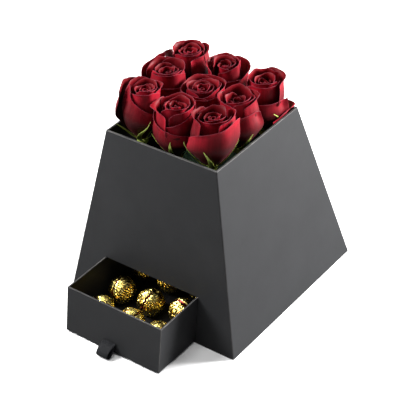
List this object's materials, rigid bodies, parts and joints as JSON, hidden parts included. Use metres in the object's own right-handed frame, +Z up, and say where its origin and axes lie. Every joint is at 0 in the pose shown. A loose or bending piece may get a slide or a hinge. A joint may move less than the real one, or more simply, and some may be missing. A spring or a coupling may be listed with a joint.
{
  "type": "flower gift box",
  "caption": "Tapered black gift box holding roses in floral foam above a pull-out drawer of foil-wrapped chocolates.",
  "frame": {"origin": "centre of the box's underside, on the surface that it stands on", "axes": "+Z up; -Y towards the front, where the drawer comes out; +X to the right seen from the front"},
  "size_m": [0.22, 0.2937, 0.247],
  "materials": {
    "black_paper": "satin wrap",
    "inner_black_paper": "matt wrap",
    "drawer_paper": "satin wrap",
    "ribbon": "woven",
    "gold_foil": "crinkled foil",
    "liner_plastic": "thin film",
    "floral_foam": "fine open foam",
    "rose_petal": "velvety",
    "rose_sepal": "leafy",
    "rose_stem": "waxy"
  },
  "bodies": {
    "box": {"front_wall": "black_paper", "right_wall": "black_paper", "back_wall": "black_paper", "left_wall": "black_paper", "base_board": "black_paper", "drawer_shelf": "inner_black_paper", "left_guide": "inner_black_paper", "right_guide": "inner_black_paper", "drawer_stop": "inner_black_paper"},
    "drawer": {"drawer_front": "drawer_paper", "drawer_back": "drawer_paper", "drawer_left_side": "drawer_paper", "drawer_right_side": "drawer_paper", "drawer_bottom": "drawer_paper", "pull_ribbon": "ribbon", "foil_chocolate_01": "gold_foil", "foil_chocolate_02": "gold_foil", "foil_chocolate_03": "gold_foil", "foil_chocolate_04": "gold_foil", "foil_chocolate_05": "gold_foil", "foil_chocolate_06": "gold_foil", "foil_chocolate_07": "gold_foil", "foil_chocolate_08": "gold_foil", "foil_chocolate_09": "gold_foil", "foil_chocolate_10": "gold_foil", "foil_chocolate_11": "gold_foil", "foil_chocolate_12": "gold_foil"},
    "arrangement": {"foam_liner": "liner_plastic", "floral_foam": "floral_foam", "rose_head_1": "rose_petal", "rose_head_2": "rose_petal", "rose_head_3": "rose_petal", "rose_head_4": "rose_petal", "rose_head_5": "rose_petal", "rose_head_6": "rose_petal", "rose_head_7": "rose_petal", "rose_head_8": "rose_petal", "rose_head_9": "rose_petal", "rose_calyx_1": "rose_sepal", "rose_calyx_2": "rose_sepal", "rose_calyx_3": "rose_sepal", "rose_calyx_4": "rose_sepal", "rose_calyx_5": "rose_sepal", "rose_calyx_6": "rose_sepal", "rose_calyx_7": "rose_sepal", "rose_calyx_8": "rose_sepal", "rose_calyx_9": "rose_sepal", "rose_stem_1": "rose_stem", "rose_stem_2": "rose_stem", "rose_stem_3": "rose_stem", "rose_stem_4": "rose_stem", "rose_stem_5": "rose_stem", "rose_stem_6": "rose_stem", "rose_stem_7": "rose_stem", "rose_stem_8": "rose_stem", "rose_stem_9": "rose_stem"}
  },
  "joints": [
    {"name": "drawer_slide", "type": "slide", "parent": "box", "child": "drawer", "axis": [0, -1, 0], "range_m": [-0.061, 0.085]},
    {"name": "arrangement_lift", "type": "slide", "parent": "box", "child": "arrangement", "axis": [0, 0, 1], "range_m": [0, 0.2]}
  ]
}
